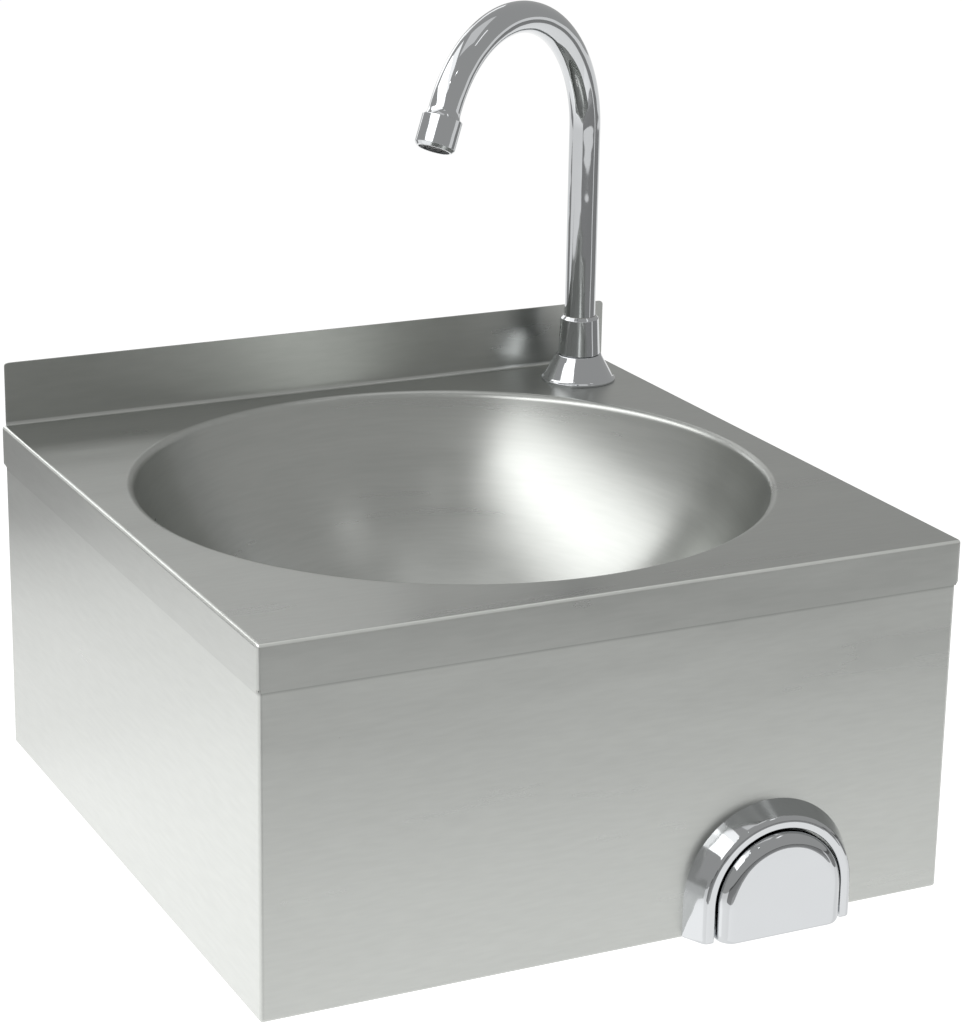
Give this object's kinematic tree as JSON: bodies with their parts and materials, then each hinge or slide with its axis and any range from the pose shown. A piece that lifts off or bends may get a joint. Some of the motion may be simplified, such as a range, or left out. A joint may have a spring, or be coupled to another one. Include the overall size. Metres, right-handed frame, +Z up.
{
  "type": "knee-operated hand wash sink",
  "caption": "Wall-hung stainless steel hand wash sink with a round bowl, back upstand, swivel gooseneck spout and a knee push button low on the front panel.",
  "frame": {"origin": "centre of the four wall fixing holes, on the wall plane, halfway up the casing", "axes": "+Z up, +Y into the wall, +X to the right of a person who faces the sink"},
  "size_m": [0.4, 0.4176, 0.4438],
  "materials": {
    "satin_steel": "satin ground",
    "polished_steel": "polished",
    "plain_steel": "bright drawn",
    "chrome": "mirror plated",
    "brass": "machined",
    "rubber": "matt moulded",
    "moulded_plastic": "injection moulded",
    "fibre": "pressed fibre"
  },
  "bodies": {
    "basin": {"deck_top": "satin_steel", "bowl": "satin_steel", "apron": "satin_steel", "waste_grid": "polished_steel", "waste_screw": "polished_steel", "waste_seal_upper": "rubber", "waste_seal_lower": "rubber", "waste_body": "polished_steel", "tap_body": "chrome", "escutcheon": "chrome", "deck_seal": "rubber", "shank_rubber": "rubber", "shank_washer": "plain_steel", "shank_backnut": "brass", "valve_bezel": "chrome", "bezel_screws": "plain_steel", "valve_gasket": "rubber", "valve_front_nut": "brass", "valve_body": "brass", "valve_cartridge": "moulded_plastic", "hot_inlet_nipple": "brass", "cold_inlet_nipple": "brass", "inlet_washers": "fibre", "check_valves": "moulded_plastic", "return_spring": "plain_steel", "supply_pipe": "plain_steel", "pipe_seals": "fibre", "pipe_nut_lower": "brass", "pipe_nut_upper": "brass"},
    "spout": {"spout_tube": "chrome", "spout_tail": "brass", "spout_orings": "rubber", "spout_snap_ring": "plain_steel", "aerator_housing": "chrome", "aerator_washer": "rubber", "aerator_insert": "moulded_plastic"},
    "knee_button": {"push_button": "chrome", "plunger": "brass", "plunger_oring": "rubber", "valve_poppet": "rubber", "poppet_nut": "brass"}
  },
  "joints": [
    {"name": "spout_swivel", "type": "hinge", "parent": "basin", "child": "spout", "pos_m": [0.162, -0.038, 0.12], "axis": [0, 0, 1], "range_deg": [-36, 155]},
    {"name": "button_push", "type": "slide", "parent": "basin", "child": "knee_button", "axis": [0, 1, 0], "range_m": [0, 0.008], "stiffness_N_per_m": 2500, "springref_m": -0.006, "deforming": ["return_spring"]}
  ]
}
